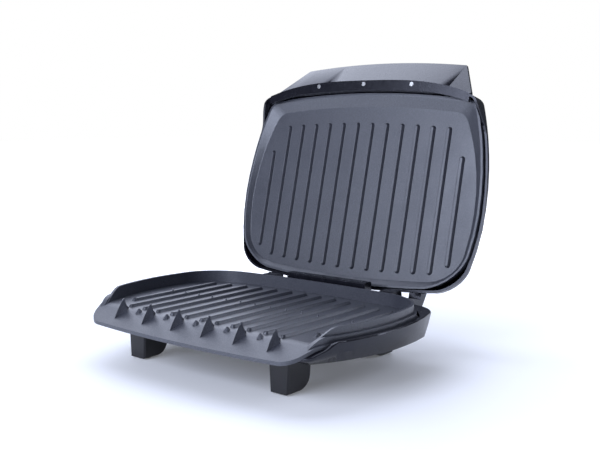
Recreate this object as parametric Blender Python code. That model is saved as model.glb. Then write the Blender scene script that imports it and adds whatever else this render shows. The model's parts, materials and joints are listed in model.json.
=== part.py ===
"""Ribbed contact grill standing open: base, lid on a floating hinge, two heated plates.

Metres, +Z up, the front with the spout towards -Y. Everything is drawn around the middle of
the lower plate's cooking floor, and the lid is drawn closed and then turned open on its hinge.
"""
import bpy
import bmesh
import math
from mathutils import Vector

# Where the middle of the cooking floor stands over the origin, which is under the whole grill
PLATE_Y = -0.05174
PLATE_Z = 0.0449

# Running gap between touching pieces, overrun of cutters, depth that joined shapes share
FIT = 0.0003
OVERRUN = 0.004
SINK = 0.0012

# Plan of the cooking area at the outer face of the lower plate's wall
COOK_HALF_WIDTH = 0.1315
COOK_SIDE_RADIUS = 0.180
COOK_WIDEST_Y = 0.008
COOK_REAR_Y = 0.0825
COOK_REAR_RADIUS = 1.0
COOK_FRONT_Y = -0.092
COOK_FRONT_RADIUS = 0.850
COOK_REAR_CORNER = 0.030
COOK_FRONT_CORNER = 0.008
PLAN_TURN_DEG = 8.0
PLAN_STEP = 0.018
PLAN_FINE_COUNT = 720
PLAN_FALL_Y = -0.040
PLAN_FALL_STEP = 0.0035

# Lower plate: sheet, spout, wall and ledge, heights from the cooking floor
SHEET_THICK = 0.003
SHEET_MARGIN = 0.0049
SPOUT_START_Y = -0.062
SPOUT_LENGTH = 0.029
SPOUT_BEND_RADIUS = 0.020
SPOUT_SLOPE_DEG = 25.0
SPOUT_FRONT_RADIUS = 1.9
SPOUT_BEND_COUNT = 6
WALL_TOP = 0.011
WALL_THICK = 0.0022
WALL_FALL_REAR = 0.016
WALL_FALL_FRONT = 0.012
LEDGE_TOP = 0.005
LEDGE_WIDTH = 0.0032
LEDGE_FALL_REAR = 0.004
LEDGE_FALL_FRONT = 0.013

# Ribs of both plates
RIB_PITCH = 0.017
RIB_WIDTH = 0.0062
RIB_CREST = 0.0026
RIB_END_COUNT = 6
RIB_SHOULDER_SHARE = 0.6
LOWER_RIB_COUNT = 13
LOWER_RIB_HEIGHT = 0.0023
LOWER_RIB_REAR_Y = 0.070
LOWER_RIB_REAR_RADIUS = 0.406
LOWER_RIB_FRONT_Y = -0.0655
LOWER_END_RIB_FRONT_Y = -0.045
UPPER_RIB_COUNT = 14
UPPER_RIB_HEIGHT = 0.0026
UPPER_RIB_REAR_Y = 0.074
UPPER_RIB_REAR_RADIUS = 1.13
UPPER_RIB_FRONT_Y = -0.069
UPPER_RIB_FRONT_RADIUS = 1.2
UPPER_END_RIB_REAR_Y = 0.0618
UPPER_END_RIB_FRONT_Y = -0.039

# Pips on the lower ribs, fins and cones at their front ends
PIP_RADIUS = 0.0012
PIP_TIP_RADIUS = 0.0006
PIP_RISE = 0.0014
FIN_SET = 0.0095
FIN_TIP_HEIGHT = 0.0082
FIN_TIP_RADIUS = 0.0009
FIN_FRONT_REACH = 0.0115
FIN_REAR_REACH = 0.0065
FIN_SIDE_REACH = 0.0052
FIN_FLANK_SHARE = 0.6
FIN_WAIST_SHARES = (1.0, 0.46, 0.24)
FIN_RISE_SHARES = (0.0, 0.42, 0.74)
CONE_SET = 0.0072
CONE_RADIUS = 0.0036
CONE_TIP_RADIUS = 0.0006
CONE_HEIGHT = 0.0030

# Base shell
BASE_MARGIN = 0.009
BASE_REAR_RADIUS = 4.0
BASE_FRONT_SETBACK = 0.0095
BASE_FRONT_RADIUS = 1.9
BASE_REAR_CORNER = 0.018
BASE_FRONT_CORNER = 0.006
BASE_WALL = 0.0025
BASE_TOP = 0.002
BASE_EDGE_ROUND = 0.0008
BASE_FRONT_BOTTOM = -0.0135
BASE_REAR_BOTTOM = -0.020
BASE_DRAFT = 0.008
BASE_REAR_DRAFT = 0.005
BASE_REAR_FADE = 0.060
BASE_BELLY = 0.0022
BASE_NOSE = 0.0115
DECK_GROOVE = 0.0026
REAR_DECK = 0.0027
DECK_FRONT_CORNER = 0.001
DECK_FALL_REAR = 0.008
DECK_FALL_FRONT = 0.0035

# Hinge: axis, pins, lugs on the base, ears on the lid
HINGE_Z = -0.0055
LID_OPEN_DEG = 103.65
HINGE_FLOAT = 0.008
PIN_RADIUS = 0.003
PIN_HEAD_RADIUS = 0.0048
PIN_HEAD_THICK = 0.0015
PIN_TAIL = 0.0007
CLIP_RADIUS = 0.0052
CLIP_THICK = 0.0012
KNUCKLE_RADIUS = 0.009
EAR_GAP = 0.0016
EAR_SIDE_GAP = 0.0015
EAR_WIDTH = 0.0125
EAR_SHOULDER_RISE = 0.001
EAR_BACK_RISE = 0.0155
EAR_ROOT_DEPTH = 0.0035
EAR_TOP_DEPTH = 0.010
EAR_TOP_Z = 0.0225
LUG_GAP = 0.0035
LUG_WIDTH = 0.014
LUG_ROOF = 0.0022
LUG_CORNER = 0.004
PLINTH_TOP = -0.0115
HOUSING_HALF_WIDTH = 0.0585
HOUSING_TOP = -0.004
BLOCK_HALF_WIDTH = 0.0455
BLOCK_GAP = 0.0055
BLOCK_DEPTH = 0.0105
BLOCK_TOP = 0.0125
BLOCK_EDGE = 0.001

# Lid shell, closed, heights from the lower cooking floor
PLATE_GAP = 0.0135
LID_EDGE_OUT = 0.008
LID_WIDEST_Y = 0.010
LID_SIDE_REAR_RADIUS = 0.172
LID_SIDE_FRONT_RADIUS = 0.285
LID_REAR_CORNER = 0.020
LID_FRONT_CORNER = 0.006
LID_WALL = 0.0023
LID_SIDE_EDGE_Z = 0.0125
LID_REAR_EDGE_Z = 0.0095
LID_FRONT_EDGE_Z = 0.001
LID_EDGE_REAR_START = 0.0275
LID_EDGE_FALL_REAR = 0.034
LID_EDGE_FALL_FRONT = 0.003
LID_SKIRT_TOP = 0.0155
LID_REAR_CUT_Z = 0.014
LID_REAR_CUT_GAP = 0.002
LID_HEIGHT = 0.0375
DOME_INSETS = (0.0, 0.0045, 0.0115, 0.021, 0.034, 0.055)
DOME_RISE_SHARES = (0.0, 0.16, 0.41, 0.65, 0.85, 1.0)
FLANGE_DEPTH = 0.007
FLANGE_END_X = 0.1155
FLANGE_END_BACK = 0.014
FLANGE_ROOT = 0.006
FLANGE_THICK = 0.003
FLANGE_COUNT = 12
STANDOFF_INSET = 0.0265
STANDOFF_FRONT_Y = -0.030
STANDOFF_REAR_Y = 0.040
STANDOFF_RADIUS = 0.004

# Upper plate, closed
RIM_OUT = 0.003
RIM_THICK = 0.0018
RIM_DEPTH = 0.0042
RIM_REAR_CORNER = 0.028
RIM_FRONT_CORNER = 0.006
COVE_SIDE = 0.0053
COVE_FRONT = 0.0115
COVE_OUT_SHARES = (0.0, 0.12, 0.88, 1.0)
COVE_DEPTH_SHARES = (0.0, 0.06, 0.94, 1.0)
FACE_SIDE_REAR_RADIUS = 0.192
FACE_SIDE_FRONT_RADIUS = 0.182
FACE_REAR_CORNER = 0.022
PLATE_BACK_ROUND = 0.0023

# Handle, closed
BROW_HALF_LENGTH = 0.092
BROW_REACH = 0.025
BROW_END_BACK = 0.005
BROW_LOW_Z = 0.0305
BROW_HIGH_Z = 0.0335
BROW_ROUND = 0.0006
HANDLE_REAR_Y = -0.074
HANDLE_REAR_Z = 0.0405
HANDLE_END_INSET = 0.002
HANDLE_END_REACH = 0.0012
HANDLE_END_RISE = 0.006
HANDLE_END_BACK_RISE = 0.008
HANDLE_WALL = 0.0026
HANDLE_COUNT = 8
HANDLE_GAP = 0.0005

# Screws
SCREW_RADIUS = 0.0017
SCREW_HEAD_RADIUS = 0.0030
SCREW_HEAD_THICK = 0.0014
SCREW_BITE = 0.0042
SCREW_SLOT_WIDTH = 0.0008
SCREW_SLOT_DEPTH = 0.0006
POST_RADIUS = 0.0042
HANDLE_SCREW_X = 0.054
HANDLE_SCREW_RADIUS = 0.0012
HANDLE_SCREW_HEAD_RADIUS = 0.0021
HANDLE_SCREW_HEAD_THICK = 0.0010
HANDLE_SCREW_INSET = 0.0034
HANDLE_SCREW_BITE = 0.007
HANDLE_BOSS_RADIUS = 0.0030
BASE_SCREW_INSET = 0.0235
BASE_SCREW_FRONT_Y = -0.035
BASE_SCREW_REAR_Y = 0.045
BASE_POST_DROP = 0.005
BASE_SCREW_RECESS = 0.0006
SHIELD_SCREW_INSET = 0.022
SHIELD_SCREW_FRONT_INSET = 0.020
SHIELD_SCREW_REAR_INSET = 0.012

# Elements and shields
ELEMENT_RADIUS = 0.0032
ELEMENT_POST_GAP = 0.009
ELEMENT_FRONT_Y = -0.044
ELEMENT_REAR_Y = 0.056
ELEMENT_CORNER = 0.024
ELEMENT_CORNER_COUNT = 6
ELEMENT_TAIL_X = 0.016
ELEMENT_TAIL_CORNER = 0.005
ELEMENT_TAIL_LENGTH = 0.012
SHIELD_MARGIN = 0.006
SHIELD_THICK = 0.0008

# Electrics in the base
THERMOSTAT_RADIUS = 0.008
THERMOSTAT_NECK_RADIUS = 0.0055
THERMOSTAT_HEIGHT = 0.006
THERMOSTAT_Y = 0.028
FUSE_RADIUS = 0.0022
FUSE_LENGTH = 0.012
FUSE_X = 0.024
TERMINAL_X = -0.042
TERMINAL_Y = 0.0735
TERMINAL_WIDTH = 0.026
TERMINAL_DEPTH = 0.012
TERMINAL_HEIGHT = 0.008
TERMINAL_PORT_RADIUS = 0.0018
TERMINAL_PORT_DEPTH = 0.004
TERMINAL_PORT_COUNT = 3
GLAND_X = -0.028
GLAND_Z = -0.0115
GLAND_RADIUS = 0.0040
GLAND_FLANGE_RADIUS = 0.0058
GLAND_FLANGE_THICK = 0.002
GLAND_TIP_RADIUS = 0.0042
GLAND_LENGTH = 0.010
GLAND_BORE = 0.0030
GLAND_TAIL = 0.006

# Feet
FOOT_HALF_WIDTH = 0.0089
FRONT_FOOT_INSET = 0.0518
REAR_FOOT_INSET = 0.060
FOOT_TAPER = 0.0016
FOOT_LENGTH = 0.027
FRONT_FOOT_Y = -0.0625
REAR_FOOT_Y = 0.0915
FOOT_HEEL_RADIUS = 0.011
FOOT_HEEL_COUNT = 5
FOOT_EDGE = 0.0012
PAD_RADIUS = 0.006
PAD_THICK = 0.002
PAD_PROUD = 0.001

# Facets of round pieces
ROUND_SIDES = 16
SMALL_SIDES = 12
PIP_SIDES = 8

# Sizes that follow from the ones above
SPOUT_FRONT_Y = SPOUT_START_Y - SPOUT_LENGTH
FIN_Y = SPOUT_START_Y - FIN_SET
CONE_Y = SPOUT_START_Y - CONE_SET
BASE_FRONT_Y = SPOUT_FRONT_Y + BASE_FRONT_SETBACK
BASE_REAR_Y = COOK_REAR_Y + LEDGE_WIDTH + DECK_GROOVE + REAR_DECK
JOINT_Y = BASE_REAR_Y - BASE_REAR_DRAFT - SINK
HINGE_Y = BASE_REAR_Y + EAR_GAP + KNUCKLE_RADIUS
LUG_INNER_X = HOUSING_HALF_WIDTH + LUG_GAP
LUG_OUTER_X = LUG_INNER_X + LUG_WIDTH
EAR_INNER_X = LUG_OUTER_X + EAR_SIDE_GAP
EAR_OUTER_X = EAR_INNER_X + EAR_WIDTH
LUG_TOP = HINGE_Z + HINGE_FLOAT + PIN_RADIUS + LUG_ROOF
BLOCK_FRONT_Y = BASE_REAR_Y + BLOCK_GAP
BLOCK_REAR_Y = BLOCK_FRONT_Y + BLOCK_DEPTH
LID_CROWN_Z = PLATE_GAP + LID_HEIGHT
FLANGE_FRONT_Y = COOK_FRONT_Y - LID_EDGE_OUT - FLANGE_DEPTH
FLANGE_TOP = LID_FRONT_EDGE_Z + FLANGE_THICK
HANDLE_BOTTOM = FLANGE_TOP + FIT
HANDLE_END_X = FLANGE_END_X - HANDLE_END_INSET
BROW_FRONT_Y = FLANGE_FRONT_Y - BROW_REACH
UPPER_BACK_Z = PLATE_GAP + SHEET_THICK
FOOT_BOTTOM = PAD_PROUD - PLATE_Z
ELEMENT_DROP = FIT + ELEMENT_RADIUS
SHIELD_DROP = ELEMENT_DROP + ELEMENT_RADIUS + FIT
BASE_SCREW_X = COOK_HALF_WIDTH - BASE_SCREW_INSET
STANDOFF_X = COOK_HALF_WIDTH - STANDOFF_INSET
ELEMENT_HALF_WIDTH = STANDOFF_X - STANDOFF_RADIUS - ELEMENT_POST_GAP
SHIELD_SCREW_X = ELEMENT_HALF_WIDTH - SHIELD_SCREW_INSET
SHIELD_SCREW_FRONT_Y = ELEMENT_FRONT_Y + SHIELD_SCREW_FRONT_INSET
SHIELD_SCREW_REAR_Y = ELEMENT_REAR_Y - SHIELD_SCREW_REAR_INSET
FRONT_FOOT_X = COOK_HALF_WIDTH - FRONT_FOOT_INSET
REAR_FOOT_X = COOK_HALF_WIDTH - REAR_FOOT_INSET

MATERIALS = {
    "plate": ((0.055, 0.058, 0.070), 0.42, 0.0),
    "shell": ((0.020, 0.020, 0.026), 0.28, 0.0),
    "foot": ((0.016, 0.016, 0.022), 0.45, 0.0),
    "rubber": ((0.020, 0.020, 0.020), 0.85, 0.0),
    "steel": ((0.560, 0.570, 0.580), 0.30, 1.0),
    "sheath": ((0.160, 0.150, 0.145), 0.45, 1.0),
    "shield": ((0.620, 0.630, 0.640), 0.38, 1.0),
    "ceramic": ((0.780, 0.760, 0.700), 0.60, 0.0),
}


def rounded(a, b, radius):
    """Two distances joined by a round corner."""
    outer = math.hypot(max(a + radius, 0.0), max(b + radius, 0.0))
    return outer + min(-radius, max(a, b))


class Plan:
    """A plan bounded by two side arcs, a rear arc and a front arc, with rounded corners."""

    def __init__(self, side_out, rear_y, rear_radius, front_y, front_radius, corners, side=None):
        widest_y, side_rear_radius, side_front_radius = side or COOK_SIDE
        self.half_width = COOK_HALF_WIDTH + side_out
        self.widest_y = widest_y
        self.side_rear_radius = side_rear_radius + side_out
        self.side_front_radius = side_front_radius + side_out
        self.rear_y = rear_y
        self.rear_radius = rear_radius
        self.front_y = front_y
        self.front_radius = front_radius
        self.rear_corner, self.front_corner = corners

    def outside(self, x, y):
        """How far a point lies outside the plan, negative inside."""
        radius = self.side_rear_radius if y > self.widest_y else self.side_front_radius
        side = math.hypot(abs(x) + radius - self.half_width, y - self.widest_y) - radius
        rear = math.hypot(x, y - self.rear_y + self.rear_radius) - self.rear_radius
        front = math.hypot(x, y - self.front_y - self.front_radius) - self.front_radius
        return max(rounded(side, rear, self.rear_corner), rounded(side, front, self.front_corner))

    def reach(self, turn, grow):
        """The plan's point in one direction from the middle, grown by a distance."""
        near = 0.0
        far = self.half_width * 2
        for _ in range(40):
            middle = (near + far) / 2
            if self.outside(math.sin(turn) * middle, math.cos(turn) * middle) < grow:
                near = middle
            else:
                far = middle
        return math.sin(turn) * near, math.cos(turn) * near

    def turns(self):
        """Directions that follow the plan's bends, from the front round by the rear."""
        step = math.pi / PLAN_FINE_COUNT
        fine = [Vector(self.reach(k * step, 0.0)) for k in range(PLAN_FINE_COUNT + 1)]
        half = [0.0]
        last = 0
        for k in range(1, PLAN_FINE_COUNT):
            bend = (fine[last + 1] - fine[last]).angle(fine[k + 1] - fine[k])
            run = (fine[k] - fine[last]).length
            falls = fine[k].y < PLAN_FALL_Y and fine[last].y - fine[k].y > PLAN_FALL_STEP
            if bend > math.radians(PLAN_TURN_DEG) or run > PLAN_STEP or falls:
                half.append(k * step)
                last = k
        return [-turn for turn in reversed(half[1:])] + half + [math.pi]


DECK_OUT = LEDGE_WIDTH + DECK_GROOVE
COOK_SIDE = (COOK_WIDEST_Y, COOK_SIDE_RADIUS, COOK_SIDE_RADIUS)
LID_SIDE = (LID_WIDEST_Y, LID_SIDE_REAR_RADIUS, LID_SIDE_FRONT_RADIUS)
FACE_SIDE = (LID_WIDEST_Y, FACE_SIDE_REAR_RADIUS, FACE_SIDE_FRONT_RADIUS)
BASE_CORNERS = (BASE_REAR_CORNER, BASE_FRONT_CORNER)
COOK_CORNERS = (COOK_REAR_CORNER, COOK_FRONT_CORNER)
SHEET_CORNERS = (COOK_REAR_CORNER + SHEET_MARGIN, COOK_FRONT_CORNER)
COOK = Plan(0.0, COOK_REAR_Y, COOK_REAR_RADIUS, COOK_FRONT_Y, COOK_FRONT_RADIUS, COOK_CORNERS)
SHEET = Plan(SHEET_MARGIN, COOK_REAR_Y + LEDGE_WIDTH, COOK_REAR_RADIUS,
             SPOUT_FRONT_Y, SPOUT_FRONT_RADIUS, SHEET_CORNERS)
FACE = Plan(RIM_OUT - COVE_SIDE, COOK_REAR_Y + RIM_OUT - COVE_SIDE, COOK_REAR_RADIUS,
            COOK_FRONT_Y - RIM_OUT + COVE_FRONT, COOK_FRONT_RADIUS,
            (FACE_REAR_CORNER, RIM_FRONT_CORNER), FACE_SIDE)
RIM = Plan(RIM_OUT, COOK_REAR_Y + RIM_OUT, COOK_REAR_RADIUS, COOK_FRONT_Y - RIM_OUT, COOK_FRONT_RADIUS,
           (RIM_REAR_CORNER, RIM_FRONT_CORNER), LID_SIDE)
LID = Plan(LID_EDGE_OUT, COOK_REAR_Y + LID_EDGE_OUT, COOK_REAR_RADIUS,
           COOK_FRONT_Y - LID_EDGE_OUT, COOK_FRONT_RADIUS, (LID_REAR_CORNER, LID_FRONT_CORNER), LID_SIDE)
BASE = Plan(BASE_MARGIN, BASE_REAR_Y, BASE_REAR_RADIUS, BASE_FRONT_Y, BASE_FRONT_RADIUS, BASE_CORNERS)
WELL = Plan(BASE_MARGIN, BASE_REAR_Y, BASE_REAR_RADIUS, BASE_FRONT_Y + BASE_NOSE - BASE_WALL,
            BASE_FRONT_RADIUS, BASE_CORNERS)
DECK = Plan(DECK_OUT, COOK_REAR_Y + DECK_OUT, COOK_REAR_RADIUS, BASE_FRONT_Y + BASE_NOSE + FIT,
            BASE_FRONT_RADIUS, (COOK_REAR_CORNER + DECK_OUT, DECK_FRONT_CORNER))


def ease(value, start, end):
    """Nought before the start, one after the end, and a smooth S between them."""
    share = min(max((value - start) / (end - start), 0.0), 1.0)
    return share * share * (3 - 2 * share)


def spout_top(y):
    """Height of the cooking surface along the plate: a flat floor, a bend, a slope."""
    slope = math.radians(SPOUT_SLOPE_DEG)
    past = SPOUT_START_Y - y
    bend = SPOUT_BEND_RADIUS * math.sin(slope)
    if past <= 0:
        return 0.0
    if past < bend:
        return math.sqrt(SPOUT_BEND_RADIUS ** 2 - past ** 2) - SPOUT_BEND_RADIUS
    return SPOUT_BEND_RADIUS * (math.cos(slope) - 1) - (past - bend) * math.tan(slope)


def base_bottom(y):
    """Height of the base shell's underside, which falls a little towards the back."""
    share = (y - BASE_FRONT_Y) / (BASE_REAR_Y - BASE_FRONT_Y)
    return BASE_FRONT_BOTTOM + (BASE_REAR_BOTTOM - BASE_FRONT_BOTTOM) * share


def base_top(y):
    """Height of the base shell's rim, level at the sides and drawn down under the spout."""
    low = spout_top(y) - SHEET_THICK - FIT
    fall = ease(y, SPOUT_START_Y + DECK_FALL_REAR, SPOUT_START_Y - DECK_FALL_FRONT)
    return BASE_TOP + (low - BASE_TOP) * fall


def base_middle(y):
    """Height halfway up the base shell's side."""
    return (base_bottom(y) + base_top(y)) / 2


def base_low_out(y):
    """How far out the foot of the base shell's side stands, less drawn in at the rear."""
    fade = ease(y, BASE_REAR_Y - BASE_REAR_FADE, BASE_REAR_Y)
    return (BASE_DRAFT - BASE_REAR_DRAFT) * fade - BASE_DRAFT


def base_middle_out(y):
    """How far out the middle of the base shell's side stands, with a belly at its sides."""
    fade = ease(y, BASE_REAR_Y - BASE_REAR_FADE, BASE_REAR_Y)
    return BASE_BELLY * (1 - fade) + base_low_out(y) / 2


def lid_edge(y):
    """Height of the closed lid's lower edge, lower along the front and at the rear."""
    fall = ease(y, COOK_FRONT_Y + LID_EDGE_FALL_REAR, COOK_FRONT_Y + LID_EDGE_FALL_FRONT)
    rear = ease(y, COOK_REAR_Y - LID_EDGE_REAR_START, COOK_REAR_Y)
    front_drop = (LID_FRONT_EDGE_Z - LID_SIDE_EDGE_Z) * fall
    return LID_SIDE_EDGE_Z + front_drop + (LID_REAR_EDGE_Z - LID_SIDE_EDGE_Z) * rear


def flange_y(x):
    """Outer edge of the lid's front flange, flat in the middle and drawn back at its ends."""
    return FLANGE_FRONT_Y + FLANGE_END_BACK * abs(x / FLANGE_END_X) ** 3


def front_arc_y(x, out):
    """The cooking plan's front arc, moved out by a distance."""
    return COOK_FRONT_Y - out + x * x / (2 * COOK_FRONT_RADIUS)


def clear_scene():
    """Starts from an empty file."""
    for old in list(bpy.data.objects):
        bpy.data.objects.remove(old, do_unlink=True)


def material(kind):
    """A Principled material of one of the grill's own finishes."""
    colour, rough, metallic = MATERIALS[kind]
    made = bpy.data.materials.new(kind)
    made.use_nodes = True
    shader = made.node_tree.nodes["Principled BSDF"]
    shader.inputs["Base Color"].default_value = (*colour, 1.0)
    shader.inputs["Roughness"].default_value = rough
    shader.inputs["Metallic"].default_value = metallic
    return made


def add_loft(work, rings):
    """Adds a closed solid to a bmesh through rings with equal counts of points."""
    rows = [[work.verts.new(point) for point in ring] for ring in rings]
    count = len(rows[0])
    for low, high in zip(rows, rows[1:]):
        for k in range(count):
            after = (k + 1) % count
            work.faces.new((low[k], low[after], high[after]))
            work.faces.new((low[k], high[after], high[k]))
    work.faces.new(list(reversed(rows[0])))
    work.faces.new(rows[-1])


def solid(name, lofted):
    """An object that holds one or more separate lofts, with its faces pointing out."""
    work = bmesh.new()
    for rings in lofted:
        add_loft(work, rings)
    bmesh.ops.recalc_face_normals(work, faces=work.faces)
    mesh = bpy.data.meshes.new(name)
    work.to_mesh(mesh)
    work.free()
    made = bpy.data.objects.new(name, mesh)
    bpy.context.scene.collection.objects.link(made)
    return made


def combine(target, lofted, operation):
    """Joins, cuts or trims an object with one or more separate lofts."""
    apply_boolean(target, solid("tool", lofted), operation)


def apply_boolean(target, tool, operation):
    """Joins, cuts or trims an object with another one, which is then removed."""
    step = target.modifiers.new(operation.lower(), "BOOLEAN")
    step.operation = operation
    step.solver = "EXACT"
    step.object = tool
    bpy.context.view_layer.objects.active = target
    bpy.ops.object.modifier_apply(modifier=step.name)
    bpy.data.objects.remove(tool, do_unlink=True)


def circle(centre, radius, sides, axis):
    """A ring of points around an axis."""
    x, y, z = centre
    ring = []
    for k in range(sides):
        along = math.cos(math.tau * k / sides) * radius
        across = math.sin(math.tau * k / sides) * radius
        places = {
            "X": (x, y + along, z + across),
            "Y": (x + along, y, z + across),
            "Z": (x + along, y + across, z),
        }
        ring.append(places[axis])
    return ring


def turned(centre, steps, sides, axis="Z"):
    """Rings of a round solid: steps are pairs of a distance along the axis and a radius."""
    rings = []
    for along, radius in steps:
        place = list(centre)
        place["XYZ".index(axis)] += along
        rings.append(circle(place, radius, sides, axis))
    return rings


def rod(centre, start, end, radius, sides=SMALL_SIDES, axis="Z"):
    """Rings of a plain round bar."""
    return turned(centre, ((start, radius), (end, radius)), sides, axis)


def box(low, high):
    """Rings of a box between two corners."""
    plan = ((low[0], low[1]), (high[0], low[1]), (high[0], high[1]), (low[0], high[1]))
    return [[(x, y, z) for x, y in plan] for z in (low[2], high[2])]


def swept(profile, low_x, high_x):
    """Rings of a solid with one side profile, from one X to another."""
    return [[(x, y, z) for y, z in profile] for x in (low_x, high_x)]


def arc(centre, radius, start_deg, end_deg, count):
    """Points of an arc in a plane, both ends included."""
    points = []
    for k in range(count + 1):
        turn = math.radians(start_deg + (end_deg - start_deg) * k / count)
        points.append((centre[0] + math.cos(turn) * radius, centre[1] + math.sin(turn) * radius))
    return points


def inset(polygon, wall):
    """A convex polygon with every edge moved inwards by a wall."""
    centre = sum((Vector(point) for point in polygon), Vector((0.0, 0.0))) / len(polygon)
    lines = []
    for k, point in enumerate(polygon):
        start = Vector(point)
        along = (Vector(polygon[(k + 1) % len(polygon)]) - start).normalized()
        across = Vector((-along.y, along.x))
        if across.dot(centre - start) < 0:
            across = -across
        lines.append((start + across * wall, along))
    points = []
    for k, (start, along) in enumerate(lines):
        before, back = lines[k - 1]
        turn = back.x * along.y - back.y * along.x
        share = ((start - before).x * along.y - (start - before).y * along.x) / turn
        points.append(tuple(before + back * share))
    return points


def plan_ring(plan, turns, grow, height):
    """A ring along the plan, grown and raised by plain distances or by distances by depth."""
    ring = []
    for turn in turns:
        out = grow(plan.reach(turn, 0.0)[1]) if callable(grow) else grow
        x, y = plan.reach(turn, out)
        ring.append((x, y, height(y) if callable(height) else height))
    return ring


def corners(x, front_y, rear_y):
    """Four places, left and right, front and rear, with the words for them."""
    return {
        "front_left": (-x, front_y),
        "front_right": (x, front_y),
        "rear_left": (-x, rear_y),
        "rear_right": (x, rear_y),
    }


BASE_SCREWS = corners(BASE_SCREW_X, BASE_SCREW_FRONT_Y, BASE_SCREW_REAR_Y)
SHIELD_SCREWS = corners(SHIELD_SCREW_X, SHIELD_SCREW_FRONT_Y, SHIELD_SCREW_REAR_Y)
STANDOFFS = corners(STANDOFF_X, STANDOFF_FRONT_Y, STANDOFF_REAR_Y)
FEET = {
    "front_left": (-FRONT_FOOT_X, FRONT_FOOT_Y),
    "front_right": (FRONT_FOOT_X, FRONT_FOOT_Y),
    "rear_left": (-REAR_FOOT_X, REAR_FOOT_Y),
    "rear_right": (REAR_FOOT_X, REAR_FOOT_Y),
}
SIDES = {"left": -1, "right": 1}
HANDLE_SCREWS = {"left": -HANDLE_SCREW_X, "middle": 0.0, "right": HANDLE_SCREW_X}


def finish(made, kind, parent, about=(0.0, 0.0, 0.0)):
    """Gives a piece its finish and its parent, with its origin at the parent's place."""
    for vertex in made.data.vertices:
        vertex.co -= Vector(about)
    made.data.materials.clear()
    made.data.materials.append(material(kind))
    made.data.shade_smooth()
    made.data.set_sharp_from_angle(angle=math.radians(32.0))
    made.parent = parent
    return made


def rib(x, rear_y, front_y, bottom, top):
    """Rings of one rib with round ends and a narrower crest."""
    shoulder = bottom + (top - bottom) * RIB_SHOULDER_SHARE
    middle = RIB_WIDTH + (RIB_CREST - RIB_WIDTH) * RIB_SHOULDER_SHARE ** 2
    rings = []
    for width, height in ((RIB_WIDTH, bottom), (middle, shoulder), (RIB_CREST, top)):
        rear = arc((x, rear_y - RIB_WIDTH / 2), width / 2, 0, 180, RIB_END_COUNT)
        front = arc((x, front_y + RIB_WIDTH / 2), width / 2, 180, 360, RIB_END_COUNT)
        rings.append([(px, py, height) for px, py in rear + front])
    return rings


def lower_ribs():
    """The ribs of the lower plate, the two end ones shorter at the front."""
    ribs = []
    for k in range(LOWER_RIB_COUNT):
        x = (k - (LOWER_RIB_COUNT - 1) / 2) * RIB_PITCH
        rear_y = LOWER_RIB_REAR_Y - x * x / (2 * LOWER_RIB_REAR_RADIUS)
        end = k in (0, LOWER_RIB_COUNT - 1)
        front_y = LOWER_END_RIB_FRONT_Y if end else LOWER_RIB_FRONT_Y
        ribs.append(rib(x, rear_y, front_y, -SHEET_THICK / 2, LOWER_RIB_HEIGHT))
    return ribs


def upper_ribs():
    """The ribs of the closed upper plate, which hang down between the lower ones."""
    ribs = []
    for k in range(UPPER_RIB_COUNT):
        x = (k - (UPPER_RIB_COUNT - 1) / 2) * RIB_PITCH
        rear_y = UPPER_RIB_REAR_Y - x * x / (2 * UPPER_RIB_REAR_RADIUS)
        front_y = UPPER_RIB_FRONT_Y + x * x / (2 * UPPER_RIB_FRONT_RADIUS)
        if k in (0, UPPER_RIB_COUNT - 1):
            rear_y = UPPER_END_RIB_REAR_Y
            front_y = UPPER_END_RIB_FRONT_Y
        ribs.append(rib(x, rear_y, front_y, PLATE_GAP + SHEET_THICK / 2, PLATE_GAP - UPPER_RIB_HEIGHT))
    return ribs


def fin(x):
    """Rings of one tall fin: a straight front ridge, hollow flanks and a steep rear."""
    rings = []
    for waist, rise in zip(FIN_WAIST_SHARES, FIN_RISE_SHARES):
        ring = []
        for k in range(8):
            turn = math.tau * k / 8
            flank = FIN_FLANK_SHARE if k % 2 else 1.0
            px = x + math.sin(turn) * FIN_SIDE_REACH * waist * flank
            ahead = math.cos(turn) * flank
            py = FIN_Y - ahead * FIN_FRONT_REACH * (1 - rise)
            if ahead < 0:
                py = FIN_Y - ahead * FIN_REAR_REACH * waist
            low = spout_top(py) - SINK
            ring.append((px, py, low + (FIN_TIP_HEIGHT - low) * rise))
        rings.append(ring)
    tip = []
    for k in range(8):
        turn = math.tau * k / 8
        tip.append((x + math.sin(turn) * FIN_TIP_RADIUS, FIN_Y - math.cos(turn) * FIN_TIP_RADIUS, FIN_TIP_HEIGHT))
    return rings + [tip]


def fins_and_cones():
    """A fin before every second rib, and a cone before each rib between them."""
    solids = []
    for k in range(LOWER_RIB_COUNT):
        x = (k - (LOWER_RIB_COUNT - 1) / 2) * RIB_PITCH
        if k % 2:
            solids.append(fin(x))
            continue
        y = LOWER_END_RIB_FRONT_Y if k in (0, LOWER_RIB_COUNT - 1) else CONE_Y
        steps = ((-SINK, CONE_RADIUS), (CONE_HEIGHT, CONE_TIP_RADIUS))
        solids.append(turned((x, y, spout_top(y)), steps, PIP_SIDES))
    return solids


def pips():
    """One pip on the crest of each lower rib, in a row across the middle."""
    solids = []
    for k in range(LOWER_RIB_COUNT):
        x = (k - (LOWER_RIB_COUNT - 1) / 2) * RIB_PITCH
        steps = ((-SINK, PIP_RADIUS), (PIP_RISE, PIP_TIP_RADIUS))
        solids.append(turned((x, 0.0, LOWER_RIB_HEIGHT), steps, PIP_SIDES))
    return solids


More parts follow.
